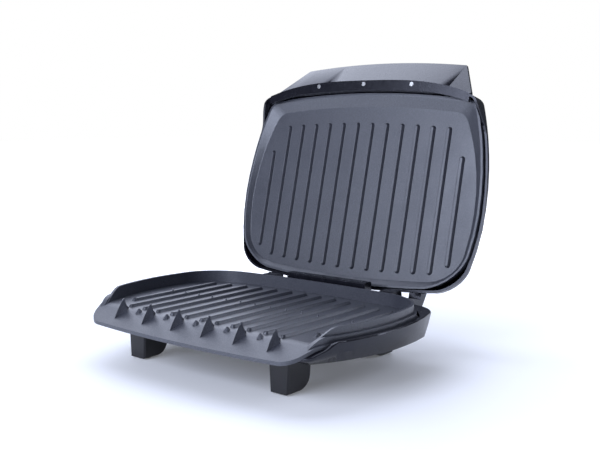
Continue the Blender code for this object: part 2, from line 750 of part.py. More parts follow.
def plate_border(inner, outer, top, fall_rear, fall_front):
    """A strip along the sides and rear of the cooking plan, drawn down at its front ends."""
    rear_y = SPOUT_START_Y + fall_rear
    front_y = SPOUT_START_Y - fall_front
    sections = []
    for turn in COOK.turns()[:-1]:
        y = COOK.reach(turn, 0.0)[1]
        if y < front_y - OVERRUN:
            continue
        fall = ease(y, rear_y, front_y)
        section = []
        for out, share in ((inner, 0.0), (outer, 0.0), (outer, 1.0), (inner, 1.0)):
            px, py = COOK.reach(turn, out)
            low = spout_top(py) - SHEET_THICK / 2
            high = top + (spout_top(py) - SINK - top) * fall
            section.append((px, py, low + (high - low) * share))
        sections.append(section)
    return sections


def spout_profile():
    """Side profile of the lower plate's sheet, floor, bend and slope."""
    ys = [COOK_REAR_Y + LEDGE_WIDTH + OVERRUN, SPOUT_START_Y]
    slope = math.radians(SPOUT_SLOPE_DEG)
    for k in range(1, SPOUT_BEND_COUNT + 1):
        ys.append(SPOUT_START_Y - SPOUT_BEND_RADIUS * math.sin(slope * k / SPOUT_BEND_COUNT))
    ys.append(SPOUT_FRONT_Y - OVERRUN)
    top = [(y, spout_top(y)) for y in ys]
    return top + [(y, z - SHEET_THICK) for y, z in reversed(top)]


def lower_plate(parent):
    """The lower casting: floor, spout, wall, ledge, ribs, fins, cones, pips and screw posts."""
    reach = COOK_HALF_WIDTH + SHEET_MARGIN + OVERRUN
    plate = solid("lower_grill_plate", [swept(spout_profile(), -reach, reach)])
    turns = SHEET.turns()
    trim = [plan_ring(SHEET, turns, 0.0, SPOUT_FRONT_Y), plan_ring(SHEET, turns, 0.0, -SPOUT_FRONT_Y)]
    combine(plate, [trim], "INTERSECT")
    ledge = plate_border(-WALL_THICK / 2, LEDGE_WIDTH - FIT, LEDGE_TOP, LEDGE_FALL_REAR, LEDGE_FALL_FRONT)
    wall = plate_border(-WALL_THICK, 0.0, WALL_TOP, WALL_FALL_REAR, WALL_FALL_FRONT)
    combine(plate, [ledge], "UNION")
    combine(plate, [wall], "UNION")
    combine(plate, lower_ribs(), "UNION")
    combine(plate, fins_and_cones(), "UNION")
    combine(plate, pips(), "UNION")
    low = -SHEET_THICK - BASE_POST_DROP
    posts = [rod((x, y, 0.0), -SHEET_THICK / 2, low, POST_RADIUS) for x, y in BASE_SCREWS.values()]
    low_shield = FIT - SHEET_THICK - SHIELD_DROP
    posts += [rod((x, y, 0.0), -SHEET_THICK / 2, low_shield, POST_RADIUS) for x, y in SHIELD_SCREWS.values()]
    combine(plate, posts, "UNION")
    hole = SCREW_RADIUS + FIT
    holes = [rod((x, y, low), -OVERRUN, SCREW_BITE + FIT, hole) for x, y in BASE_SCREWS.values()]
    holes += [rod((x, y, low_shield), -OVERRUN, SCREW_BITE + FIT, hole) for x, y in SHIELD_SCREWS.values()]
    combine(plate, holes, "DIFFERENCE")
    return finish(plate, "plate", parent)


def upper_plate(parent, about):
    """The upper casting: face, ribs, coves up to its rim, and screw posts on its back."""
    turns = RIM.turns()
    rings = []
    for out, deep in zip(COVE_OUT_SHARES, COVE_DEPTH_SHARES):
        ring = []
        for turn in turns:
            inner = FACE.reach(turn, 0.0)
            outer = RIM.reach(turn, 0.0)
            x = inner[0] + (outer[0] - inner[0]) * out
            y = inner[1] + (outer[1] - inner[1]) * out
            ring.append((x, y, PLATE_GAP - RIM_DEPTH * deep))
        rings.append(ring)
    rings.append(plan_ring(RIM, turns, RIM_THICK, PLATE_GAP - RIM_DEPTH))
    rings.append(plan_ring(RIM, turns, RIM_THICK, PLATE_GAP + SHEET_THICK / 2))
    rings.append(plan_ring(RIM, turns, RIM_THICK - PLATE_BACK_ROUND, UPPER_BACK_Z))
    plate = solid("upper_grill_plate", [rings])
    combine(plate, upper_ribs(), "UNION")
    top = UPPER_BACK_Z + SHIELD_DROP - FIT
    posts = [rod((x, y, 0.0), PLATE_GAP + SHEET_THICK / 2, top, POST_RADIUS) for x, y in SHIELD_SCREWS.values()]
    combine(plate, posts, "UNION")
    hole = SCREW_RADIUS + FIT
    holes = [rod((x, y, top), OVERRUN, -SCREW_BITE - FIT, hole) for x, y in SHIELD_SCREWS.values()]
    combine(plate, holes, "DIFFERENCE")
    return finish(plate, "plate", parent, about)


def base_rings():
    """Rings of the base shell, up its outside, over its deck and down into its well."""
    turns = BASE.turns()
    return [
        plan_ring(BASE, turns, base_low_out, base_bottom),
        plan_ring(BASE, turns, base_middle_out, base_middle),
        plan_ring(BASE, turns, 0.0, lambda y: base_top(y) - BASE_EDGE_ROUND),
        plan_ring(BASE, turns, -BASE_EDGE_ROUND, base_top),
        plan_ring(DECK, turns, 0.0, base_top),
        plan_ring(DECK, turns, 0.0, lambda y: base_top(y) - BASE_WALL),
        plan_ring(WELL, turns, -BASE_WALL, lambda y: base_top(y) - BASE_WALL),
        plan_ring(WELL, turns, lambda y: base_middle_out(y) - BASE_WALL, base_middle),
        plan_ring(WELL, turns, lambda y: base_low_out(y) - BASE_WALL, lambda y: base_bottom(y) + BASE_WALL),
    ]


def lug_profile():
    """Side profile of a hinge lug, from the plinth up to its rounded top."""
    front = HINGE_Y - KNUCKLE_RADIUS
    rear = HINGE_Y + KNUCKLE_RADIUS
    low = BASE_REAR_BOTTOM + FIT
    points = [(JOINT_Y, low), (rear, low)]
    points += arc((rear - LUG_CORNER, LUG_TOP - LUG_CORNER), LUG_CORNER, 0, 90, 3)
    points += arc((front + LUG_CORNER, LUG_TOP - LUG_CORNER), LUG_CORNER, 90, 180, 3)
    return points + [(front, PLINTH_TOP), (JOINT_Y, PLINTH_TOP)]


def slot_profile():
    """Side profile of the slot in which a hinge pin floats."""
    radius = PIN_RADIUS + FIT
    top = arc((HINGE_Y, HINGE_Z + HINGE_FLOAT), radius, 0, 180, 8)
    return top + arc((HINGE_Y, HINGE_Z), radius, 180, 360, 8)


def block_profile():
    """Side profile of the rear block, with its two top edges broken."""
    front, rear, top = BLOCK_FRONT_Y, BLOCK_REAR_Y, BLOCK_TOP
    low = HOUSING_TOP - SINK
    return [(front, low), (rear, low), (rear, top - BLOCK_EDGE), (rear - BLOCK_EDGE, top),
            (front + BLOCK_EDGE, top), (front, top - BLOCK_EDGE)]


def base_shell(parent):
    """The lower casing with its rear block, hinge lugs, screw posts and cord hole."""
    shell = solid("base_shell", [base_rings()])
    low = BASE_REAR_BOTTOM + FIT
    plinth = box((-LUG_OUTER_X + FIT, JOINT_Y, low), (LUG_OUTER_X - FIT, BLOCK_REAR_Y, PLINTH_TOP - SINK))
    combine(shell, [plinth], "UNION")
    housing = box((-HOUSING_HALF_WIDTH, BASE_REAR_Y - BASE_WALL / 2, low + SINK),
                  (HOUSING_HALF_WIDTH, BLOCK_REAR_Y - FIT, HOUSING_TOP))
    combine(shell, [housing], "UNION")
    combine(shell, [swept(block_profile(), -BLOCK_HALF_WIDTH, BLOCK_HALF_WIDTH)], "UNION")
    lugs = [sorted_sweep(lug_profile(), side, LUG_INNER_X, LUG_OUTER_X) for side in SIDES.values()]
    combine(shell, lugs, "UNION")
    slots = [sorted_sweep(slot_profile(), side, LUG_INNER_X - OVERRUN, LUG_OUTER_X + OVERRUN)
             for side in SIDES.values()]
    combine(shell, slots, "DIFFERENCE")
    top = FIT + SHEET_THICK + BASE_POST_DROP
    posts = [rod((x, y, 0.0), base_bottom(y) + BASE_WALL / 2, -top, POST_RADIUS) for x, y in BASE_SCREWS.values()]
    combine(shell, posts, "UNION")
    holes = [rod((x, y, 0.0), base_bottom(y) - OVERRUN, OVERRUN - top, SCREW_RADIUS + FIT)
             for x, y in BASE_SCREWS.values()]
    combine(shell, holes, "DIFFERENCE")
    sunk = [rod((x, y, 0.0), base_bottom(y) - OVERRUN, base_screw_seat(y), SCREW_HEAD_RADIUS + FIT)
            for x, y in BASE_SCREWS.values()]
    combine(shell, sunk, "DIFFERENCE")
    cord = rod((GLAND_X, 0.0, GLAND_Z), JOINT_Y - OVERRUN, BLOCK_REAR_Y + OVERRUN, GLAND_RADIUS + FIT,
               ROUND_SIDES, "Y")
    combine(shell, [cord], "DIFFERENCE")
    return finish(shell, "shell", parent)


def sorted_sweep(profile, side, near_x, far_x):
    """A side profile swept between two distances from the middle, on one side."""
    return swept(profile, *sorted((side * near_x, side * far_x)))


def base_screw_seat(y):
    """Height at which a base screw's head seats in the base shell."""
    return base_bottom(y) + BASE_SCREW_RECESS + SCREW_HEAD_THICK


def lid_outer_rings(turns, grow):
    """Rings over the outside of the lid, from its crown down to its edge."""
    rings = []
    for inward, rise in reversed(list(zip(DOME_INSETS, DOME_RISE_SHARES))):
        height = LID_SKIRT_TOP + (LID_CROWN_Z + grow - LID_SKIRT_TOP) * rise
        rings.append(plan_ring(LID, turns, grow - inward, height))
    rings.append(plan_ring(LID, turns, grow, lid_edge))
    return rings


def lid_inner_rings(turns):
    """Rings over the inside of the lid, from its edge up to its crown."""
    rings = [plan_ring(LID, turns, -LID_WALL, lid_edge)]
    for inward, rise in zip(DOME_INSETS, DOME_RISE_SHARES):
        height = LID_SKIRT_TOP + (LID_CROWN_Z - LID_WALL - LID_SKIRT_TOP) * rise
        rings.append(plan_ring(LID, turns, -LID_WALL - inward, height))
    return rings


def lid_filled(turns, grow):
    """The lid's outer form as a full solid, with a flat bottom."""
    return lid_outer_rings(turns, grow) + [plan_ring(LID, turns, grow, -LID_CROWN_Z)]


def ear_profile():
    """Side profile of a hinge ear: round at the pin, broad where it joins the lid."""
    root_y = COOK_REAR_Y + LID_EDGE_OUT - EAR_ROOT_DEPTH
    top_y = COOK_REAR_Y + LID_EDGE_OUT - EAR_TOP_DEPTH
    shoulder = LID_REAR_EDGE_Z + EAR_SHOULDER_RISE
    points = arc((HINGE_Y, HINGE_Z), KNUCKLE_RADIUS, 180, 360, 8)
    points.append((HINGE_Y + KNUCKLE_RADIUS, HINGE_Z + EAR_BACK_RISE))
    points += [(top_y, EAR_TOP_Z), (top_y, UPPER_BACK_Z + SINK), (root_y, LID_SKIRT_TOP)]
    return points + [(root_y, shoulder), (HINGE_Y - KNUCKLE_RADIUS, shoulder)]


def flange_sections():
    """Sections from end to end of the flange along the lid's front edge."""
    sections = []
    for k in range(-FLANGE_COUNT, FLANGE_COUNT + 1):
        share = k / FLANGE_COUNT
        x = FLANGE_END_X * share
        outer = flange_y(x)
        inner = front_arc_y(x, LID_EDGE_OUT - LID_WALL / 2) + FLANGE_ROOT * share ** 4
        sections.append([(x, outer, LID_FRONT_EDGE_Z), (x, inner, LID_FRONT_EDGE_Z),
                         (x, inner, FLANGE_TOP), (x, outer, FLANGE_TOP)])
    return sections


def handle_screw_y(x):
    """Where a handle screw stands in the flange."""
    return flange_y(x) + HANDLE_SCREW_INSET


def lid_shell(parent, about):
    """The upper casing with its ears, its front flange and its inner standoffs."""
    turns = LID.turns()
    standoffs = [rod((x, y, 0.0), UPPER_BACK_Z + FIT, LID_CROWN_Z, STANDOFF_RADIUS)
                 for x, y in STANDOFFS.values()]
    shell = solid("lid_shell", [lid_outer_rings(turns, 0.0) + lid_inner_rings(turns)])
    trimmed = solid("standoffs", standoffs)
    combine(trimmed, [lid_filled(turns, -LID_WALL / 2)], "INTERSECT")
    apply_boolean(shell, trimmed, "UNION")
    cut_x = BLOCK_HALF_WIDTH + LID_REAR_CUT_GAP
    cut = box((-cut_x, 0.0, -LID_CROWN_Z), (cut_x, HINGE_Y, LID_REAR_CUT_Z))
    combine(shell, [cut], "DIFFERENCE")
    combine(shell, [sorted_sweep(ear_profile(), side, EAR_INNER_X, EAR_OUTER_X) for side in SIDES.values()],
            "UNION")
    combine(shell, [flange_sections()], "UNION")
    bore = EAR_OUTER_X + OVERRUN
    combine(shell, [rod((0.0, HINGE_Y, HINGE_Z), -bore, bore, PIN_RADIUS + FIT, ROUND_SIDES, "X")], "DIFFERENCE")
    low, radius = LID_FRONT_EDGE_Z, HANDLE_SCREW_RADIUS + FIT
    holes = [rod((x, handle_screw_y(x), low), -OVERRUN, FLANGE_THICK + OVERRUN, radius)
             for x in HANDLE_SCREWS.values()]
    combine(shell, holes, "DIFFERENCE")
    sunk = [rod((x, handle_screw_y(x), low), -OVERRUN, HANDLE_SCREW_HEAD_THICK, HANDLE_SCREW_HEAD_RADIUS + FIT)
            for x in HANDLE_SCREWS.values()]
    combine(shell, sunk, "DIFFERENCE")
    return finish(shell, "shell", parent, about)


def handle_section(x):
    """Side profile of the handle at one place, before the lid's form is cut from it."""
    rear = HANDLE_REAR_Y + x * x / (2 * COOK_FRONT_RADIUS)
    brow = BROW_FRONT_Y + BROW_END_BACK * (x / BROW_HALF_LENGTH) ** 2
    return [(flange_y(x), HANDLE_BOTTOM), (brow, BROW_LOW_Z), (brow + BROW_ROUND, BROW_HIGH_Z),
            (rear, HANDLE_REAR_Z), (rear, HANDLE_BOTTOM)]


def handle_end_section():
    """Side profile of the handle's tip, low on the flange."""
    front = flange_y(HANDLE_END_X)
    rear = HANDLE_REAR_Y
    return [(front, HANDLE_BOTTOM), (front - HANDLE_END_REACH, HANDLE_BOTTOM + HANDLE_END_RISE / 2),
            (front - HANDLE_END_REACH / 2, HANDLE_BOTTOM + HANDLE_END_RISE),
            (rear, HANDLE_BOTTOM + HANDLE_END_BACK_RISE), (rear, HANDLE_BOTTOM)]


def handle_hollow_section(x):
    """Side profile of the handle's hollow at one place, one wall inside its outer form."""
    front, low, _, top, bottom = handle_section(x)
    return inset([front, low, top, bottom], HANDLE_WALL)


def handle_sections(half_length, profile):
    """Sections with one kind of profile from one end of the handle's full part to the other."""
    sections = []
    for k in range(-HANDLE_COUNT, HANDLE_COUNT + 1):
        x = half_length * k / HANDLE_COUNT
        sections.append([(x, y, z) for y, z in profile(x)])
    return sections


def lid_handle(parent, about):
    """The hollow brow over the lid's front, with a boss for each of its screws."""
    tips = [[(side * HANDLE_END_X, y, z) for y, z in handle_end_section()] for side in (-1, 1)]
    handle = solid("lid_handle", [[tips[0]] + handle_sections(BROW_HALF_LENGTH, handle_section) + [tips[1]]])
    combine(handle, [handle_sections(BROW_HALF_LENGTH - HANDLE_WALL, handle_hollow_section)], "DIFFERENCE")
    bosses = [rod((x, handle_screw_y(x), HANDLE_BOTTOM), FIT, HANDLE_SCREW_BITE + HANDLE_WALL, HANDLE_BOSS_RADIUS)
              for x in HANDLE_SCREWS.values()]
    combine(handle, bosses, "UNION")
    combine(handle, [lid_filled(LID.turns(), HANDLE_GAP)], "DIFFERENCE")
    radius = HANDLE_SCREW_RADIUS + FIT
    holes = [rod((x, handle_screw_y(x), HANDLE_BOTTOM), -OVERRUN, HANDLE_SCREW_BITE + FIT, radius)
             for x in HANDLE_SCREWS.values()]
    combine(handle, holes, "DIFFERENCE")
    return finish(handle, "shell", parent, about)


def screw(name, place, seat_to_tip, up, sizes, parent, about=(0.0, 0.0, 0.0)):
    """A slotted screw: its head's seat is at the place, its shank points up or down."""
    radius, head_radius, head_thick = sizes
    steps = ((-up * head_thick, head_radius), (0.0, head_radius), (0.0, radius), (up * seat_to_tip, radius))
    made = solid(name, [turned(place, steps, SMALL_SIDES)])
    x, y, z = place
    face = z - up * head_thick
    half = SCREW_SLOT_WIDTH / 2
    deep = sorted((face - up * OVERRUN, face + up * SCREW_SLOT_DEPTH))
    slot = box((x - head_radius - OVERRUN, y - half, deep[0]), (x + head_radius + OVERRUN, y + half, deep[1]))
    combine(made, [slot], "DIFFERENCE")
    return finish(made, "steel", parent, about)


def screws(base, lid, about):
    """All the screws of the grill."""
    sizes = (SCREW_RADIUS, SCREW_HEAD_RADIUS, SCREW_HEAD_THICK - FIT)
    post = -SHEET_THICK - BASE_POST_DROP
    for words, (x, y) in BASE_SCREWS.items():
        seat = base_screw_seat(y) - FIT
        screw("base_screw_" + words, (x, y, seat), post + SCREW_BITE - seat, 1, sizes, base)
    shield = SHIELD_DROP + SHIELD_THICK + FIT
    reach = shield - SHIELD_DROP + FIT + SCREW_BITE
    for words, (x, y) in SHIELD_SCREWS.items():
        screw("lower_shield_screw_" + words, (x, y, -SHEET_THICK - shield), reach, 1, sizes, base)
        screw("upper_shield_screw_" + words, (x, y, UPPER_BACK_Z + shield), reach, -1, sizes, lid, about)
    sizes = (HANDLE_SCREW_RADIUS, HANDLE_SCREW_HEAD_RADIUS, HANDLE_SCREW_HEAD_THICK - FIT)
    seat = LID_FRONT_EDGE_Z + HANDLE_SCREW_HEAD_THICK - FIT
    for words, x in HANDLE_SCREWS.items():
        place = (x, handle_screw_y(x), seat)
        screw("handle_screw_" + words, place, HANDLE_BOTTOM + HANDLE_SCREW_BITE - seat, 1, sizes, lid, about)


def element_path(height):
    """Route of a tubular element: a loop with round corners and two tails at the rear."""
    half, corner, tail = ELEMENT_HALF_WIDTH, ELEMENT_CORNER, ELEMENT_TAIL_CORNER
    rear, front = ELEMENT_REAR_Y, ELEMENT_FRONT_Y
    right = [(ELEMENT_TAIL_X, rear + ELEMENT_TAIL_LENGTH)]
    right += arc((ELEMENT_TAIL_X + tail, rear + tail), tail, 180, 270, 3)
    right += arc((half - corner, rear - corner), corner, 90, 0, ELEMENT_CORNER_COUNT)
    right += arc((half - corner, front + corner), corner, 0, -90, ELEMENT_CORNER_COUNT)
    left = [(-x, y) for x, y in reversed(right)]
    return [(x, y, height) for x, y in right + left]


def element(name, height, parent, about=(0.0, 0.0, 0.0)):
    """A tubular heating element as a bevelled curve."""
    curve = bpy.data.curves.new(name, "CURVE")
    curve.dimensions = "3D"
    curve.bevel_depth = ELEMENT_RADIUS
    curve.bevel_resolution = 2
    curve.use_fill_caps = True
    points = element_path(height)
    spline = curve.splines.new("POLY")
    spline.points.add(len(points) - 1)
    for point, place in zip(spline.points, points):
        point.co = (*(Vector(place) - Vector(about)), 1.0)
    curve.materials.append(material("sheath"))
    made = bpy.data.objects.new(name, curve)
    bpy.context.scene.collection.objects.link(made)
    made.parent = parent
    return made


def shield(name, start, end, parent, about=(0.0, 0.0, 0.0)):
    """A thin heat shield with round corners over an element, with its screw holes."""
    half = ELEMENT_HALF_WIDTH + SHIELD_MARGIN
    corner = ELEMENT_CORNER
    rear = ELEMENT_REAR_Y + SHIELD_MARGIN
    front = ELEMENT_FRONT_Y - SHIELD_MARGIN
    plan = arc((half - corner, rear - corner), corner, 0, 90, 4)
    plan += arc((corner - half, rear - corner), corner, 90, 180, 4)
    plan += arc((corner - half, front + corner), corner, 180, 270, 4)
    plan += arc((half - corner, front + corner), corner, 270, 360, 4)
    made = solid(name, [[[(x, y, z) for x, y in plan] for z in (start, end)]])
    low, high = sorted((start, end))
    holes = [rod((x, y, 0.0), low - OVERRUN, high + OVERRUN, SCREW_RADIUS + FIT)
             for x, y in SHIELD_SCREWS.values()]
    combine(made, holes, "DIFFERENCE")
    return finish(made, "shield", parent, about)


def electrics(parent):
    """Thermostat, thermal fuse, terminal block and cord gland in the base."""
    under = -SHEET_THICK - FIT
    steps = ((0.0, THERMOSTAT_RADIUS), (-THERMOSTAT_HEIGHT / 2, THERMOSTAT_RADIUS),
             (-THERMOSTAT_HEIGHT / 2, THERMOSTAT_NECK_RADIUS), (-THERMOSTAT_HEIGHT, THERMOSTAT_NECK_RADIUS))
    thermostat = solid("thermostat", [turned((0.0, THERMOSTAT_Y, under), steps, ROUND_SIDES)])
    finish(thermostat, "ceramic", parent)
    fuse = solid("thermal_fuse", [rod((FUSE_X, THERMOSTAT_Y, under - FUSE_RADIUS), 0.0, FUSE_LENGTH,
                                      FUSE_RADIUS, SMALL_SIDES, "X")])
    finish(fuse, "steel", parent)
    low = base_bottom(TERMINAL_Y - TERMINAL_DEPTH / 2) + BASE_WALL + FIT
    left, right = TERMINAL_X - TERMINAL_WIDTH / 2, TERMINAL_X + TERMINAL_WIDTH / 2
    front, rear = TERMINAL_Y - TERMINAL_DEPTH / 2, TERMINAL_Y + TERMINAL_DEPTH / 2
    terminal = solid("terminal_block", [box((left, front, low), (right, rear, low + TERMINAL_HEIGHT))])
    ports = []
    for k in range(TERMINAL_PORT_COUNT):
        x = left + TERMINAL_WIDTH * (k + 0.5) / TERMINAL_PORT_COUNT
        ports.append(rod((x, front, low + TERMINAL_HEIGHT / 2), -OVERRUN, TERMINAL_PORT_DEPTH,
                         TERMINAL_PORT_RADIUS, SMALL_SIDES, "Y"))
    combine(terminal, ports, "DIFFERENCE")
    finish(terminal, "ceramic", parent)
    place = (GLAND_X, BLOCK_REAR_Y + FIT, GLAND_Z)
    steps = ((-GLAND_TAIL, GLAND_RADIUS), (0.0, GLAND_RADIUS), (0.0, GLAND_FLANGE_RADIUS),
             (GLAND_FLANGE_THICK, GLAND_FLANGE_RADIUS), (GLAND_FLANGE_THICK, GLAND_RADIUS + FIT),
             (GLAND_LENGTH, GLAND_TIP_RADIUS))
    gland = solid("cord_gland", [turned(place, steps, ROUND_SIDES, "Y")])
    combine(gland, [rod(place, -GLAND_TAIL - OVERRUN, GLAND_LENGTH + OVERRUN, GLAND_BORE, SMALL_SIDES, "Y")],
            "DIFFERENCE")
    finish(gland, "rubber", parent)


def foot_profile(y, back):
    """Side profile of a foot whose upright face is at y and whose heel is rounded."""
    heel = y + back * FOOT_LENGTH
    centre = (heel - back * FOOT_HEEL_RADIUS, FOOT_BOTTOM + FOOT_HEEL_RADIUS)
    turns = (270, 360) if back > 0 else (270, 180)
    points = [(y, base_bottom(y) - FIT), (y, FOOT_BOTTOM)]
    points += arc(centre, FOOT_HEEL_RADIUS, *turns, FOOT_HEEL_COUNT)
    return points + [(heel, base_bottom(heel) - FIT)]


def foot(words, x, y, parent):
    """One foot, a little narrower at the ground, with a rubber pad let into it."""
    back = 1 if y < 0 else -1
    profile = foot_profile(y, back)
    height = base_bottom(y) - FOOT_BOTTOM
    sections = []
    narrow = inset(profile, FOOT_EDGE)
    for side, shape, step in ((-1, narrow, 0.0), (-1, profile, FOOT_EDGE), (1, profile, FOOT_EDGE), (1, narrow, 0.0)):
        section = []
        for (py, pz), (_, true_z) in zip(shape, profile):
            half = FOOT_HALF_WIDTH - step + FOOT_TAPER * (true_z - FOOT_BOTTOM) / height
            section.append((x + side * half, py, pz))
        sections.append(section)
    made = solid(words + "_foot", [sections])
    pad_y = y + back * (FOOT_LENGTH - FOOT_HEEL_RADIUS) / 2
    place = (x, pad_y, -PLATE_Z)
    combine(made, [rod(place, -OVERRUN, PAD_THICK + FIT, PAD_RADIUS + FIT, ROUND_SIDES)], "DIFFERENCE")
    finish(made, "foot", parent)
    pad = solid(words + "_foot_pad", [rod(place, 0.0, PAD_THICK, PAD_RADIUS, ROUND_SIDES)])
    finish(pad, "rubber", parent)


def hinge_pins(parent, about):
    """The two pins that float in the lugs' slots, each with its clip."""
    for words, side in SIDES.items():
        seat = EAR_OUTER_X + FIT
        end = LUG_INNER_X - FIT * 2 - CLIP_THICK - PIN_TAIL
        steps = ((side * end, PIN_RADIUS), (side * seat, PIN_RADIUS), (side * seat, PIN_HEAD_RADIUS),
                 (side * (seat + PIN_HEAD_THICK), PIN_HEAD_RADIUS))
        centre = (0.0, HINGE_Y, HINGE_Z)
        pin = solid("hinge_pin_" + words, [turned(centre, steps, ROUND_SIDES, "X")])
        finish(pin, "steel", parent, about)
        near = LUG_INNER_X - FIT
        clip = solid("hinge_clip_" + words, [rod(centre, side * (near - CLIP_THICK), side * near, CLIP_RADIUS,
                                                 ROUND_SIDES, "X")])
        bore = rod(centre, side * (near - CLIP_THICK - OVERRUN), side * (near + OVERRUN), PIN_RADIUS + FIT,
                   ROUND_SIDES, "X")
        combine(clip, [bore], "DIFFERENCE")
        finish(clip, "steel", parent, about)


def empty(name, place, parent=None):
    """A point that carries pieces."""
    made = bpy.data.objects.new(name, None)
    made.location = place
    made.parent = parent
    bpy.context.scene.collection.objects.link(made)
    return made


def main():
    """Builds the whole grill with its lid open."""
    clear_scene()
    about = (0.0, HINGE_Y, HINGE_Z)
    base = empty("base", (0.0, PLATE_Y, PLATE_Z))
    carriage = empty("hinge_carriage", about, base)
    lid = empty("lid", (0.0, 0.0, 0.0), carriage)
    base_shell(base)
    lower_plate(base)
    element("lower_heating_element", -SHEET_THICK - ELEMENT_DROP, base)
    shield("lower_heat_shield", -SHEET_THICK - SHIELD_DROP, -SHEET_THICK - SHIELD_DROP - SHIELD_THICK, base)
    electrics(base)
    for words, (x, y) in FEET.items():
        foot(words, x, y, base)
    hinge_pins(carriage, about)
    lid_shell(lid, about)
    upper_plate(lid, about)
    element("upper_heating_element", UPPER_BACK_Z + ELEMENT_DROP, lid, about)
    shield("upper_heat_shield", UPPER_BACK_Z + SHIELD_DROP, UPPER_BACK_Z + SHIELD_DROP + SHIELD_THICK, lid, about)
    lid_handle(lid, about)
    screws(base, lid, about)
    lid.rotation_euler = (-math.radians(LID_OPEN_DEG), 0.0, 0.0)


main()
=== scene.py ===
"""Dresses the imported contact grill: finishes, softened castings and casings, small parts and the stage.

It is laid out as an add-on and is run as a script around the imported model.
"""
import json
import math
from collections import namedtuple

import bmesh
import bpy
from bpy.props import FloatProperty, FloatVectorProperty, IntProperty, PointerProperty
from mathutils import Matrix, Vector


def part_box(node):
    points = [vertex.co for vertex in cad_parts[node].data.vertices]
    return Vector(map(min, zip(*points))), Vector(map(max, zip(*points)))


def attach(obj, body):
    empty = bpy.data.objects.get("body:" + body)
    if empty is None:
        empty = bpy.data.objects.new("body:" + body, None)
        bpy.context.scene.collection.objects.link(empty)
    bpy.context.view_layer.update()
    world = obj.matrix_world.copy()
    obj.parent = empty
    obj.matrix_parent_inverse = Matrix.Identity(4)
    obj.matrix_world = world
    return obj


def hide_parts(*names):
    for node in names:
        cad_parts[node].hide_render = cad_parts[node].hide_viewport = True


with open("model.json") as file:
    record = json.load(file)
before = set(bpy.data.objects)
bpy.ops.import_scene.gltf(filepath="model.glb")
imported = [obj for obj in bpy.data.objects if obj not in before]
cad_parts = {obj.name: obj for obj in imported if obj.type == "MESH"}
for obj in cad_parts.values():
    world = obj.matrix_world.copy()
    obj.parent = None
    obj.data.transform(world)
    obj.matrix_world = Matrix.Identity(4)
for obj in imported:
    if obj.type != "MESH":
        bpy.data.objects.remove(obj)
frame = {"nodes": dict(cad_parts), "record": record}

bl_info = {
    "name": "Contact Grill Dressing",
    "version": (1, 0, 0),
    "blender": (4, 5, 0),
    "location": "3D View > Sidebar > Grill",
    "description": "Dresses a packed contact grill with its finishes, small parts and stage",
    "category": "Object",
}

# Nodes and the bodies they ride on
PLATES = {"lower_grill_plate": "base", "upper_grill_plate": "lid"}
CASINGS = {"base_shell": "base", "lid_shell": "lid"}
FEET = ("front_left_foot", "front_right_foot", "rear_left_foot", "rear_right_foot")
FIXING_WORDS = ("screw", "pin", "clip", "gland")

# Joining and rounding of the solids' copies, lengths in metres and angles in degrees
MERGE_DISTANCE = 0.000002
FLAT_ANGLE = 0.4
BEVEL_SEGMENTS = 2
BEVEL_ANGLE = 50.0
PLATE_BEVEL_ANGLE = 40.0
PLATE_SMOOTH_ANGLE = 32.0
CASING_SMOOTH_ANGLE = 38.0
HANDLE_SMOOTH_ANGLE = 30.0
FOOT_SMOOTH_ANGLE = 30.0
SMALL_SMOOTH_ANGLE = 35.0

# Foot pads: each ring takes two steps of the radius and two stay in the middle
PAD_VERTICES = 48
STEPS_PER_RING = 2
MIDDLE_STEPS = 2
RING_WALL_SHARE = 0.2
RING_DEPTH_SHARE = 0.35
RING_FLOOR_SHARE = 0.6

# Noise patterns of the finishes
Noise = namedtuple("Noise", "scale detail roughness stretch", defaults=((1.0, 1.0, 1.0),))
PLATE_FLECKS = Noise(1400.0, 3.0, 0.7)
PLATE_CLOUDS = Noise(28.0, 5.0, 0.55)
PLATE_GRAIN = Noise(900.0, 5.0, 0.65)
PLATE_FINE_GRAIN = Noise(2600.0, 2.0, 0.6)
CASING_SHADE = Noise(60.0, 4.0, 0.5)
CASING_SCUFFS = Noise(240.0, 6.0, 0.7, (1.0, 1.0, 0.25))
CASING_GRAIN = Noise(1800.0, 3.0, 0.5)
FOOT_SHADE = Noise(90.0, 4.0, 0.5)
FOOT_GRAIN = Noise(1500.0, 3.0, 0.6)
RUBBER_DUST = Noise(300.0, 6.0, 0.7)
STEEL_MARKS = Noise(900.0, 4.0, 0.6, (1.0, 1.0, 0.1))
SHEATH_HEAT = Noise(45.0, 5.0, 0.6)
SHIELD_LINES = Noise(500.0, 4.0, 0.6, (0.04, 1.0, 1.0))
CERAMIC_SPECKS = Noise(800.0, 4.0, 0.7)
FLOOR_MARKS = Noise(3.0, 3.0, 0.5)

# Parts of a pattern between which its colours and numbers run
COLOUR_SPAN = (0.35, 0.65)
NUMBER_SPAN = (0.3, 0.7)
FLECK_SPAN = (0.42, 0.72)
DUST_SPAN = (0.45, 0.8)
SPECK_SPAN = (0.3, 0.5)

# Roughness at the two ends of each finish's pattern, or its change from the user's value
PLATE_ROUGHNESS_CHANGE = (-0.05, 0.06)
CASING_ROUGHNESS_CHANGE = (-0.03, 0.07)
FOOT_ROUGHNESS = (0.36, 0.46)
RUBBER_ROUGHNESS = (0.78, 0.9)
STEEL_ROUGHNESS = (0.24, 0.38)
SHEATH_ROUGHNESS = (0.38, 0.55)
SHIELD_ROUGHNESS = (0.3, 0.44)
CERAMIC_ROUGHNESS = (0.5, 0.65)
FLOOR_ROUGHNESS = 0.6

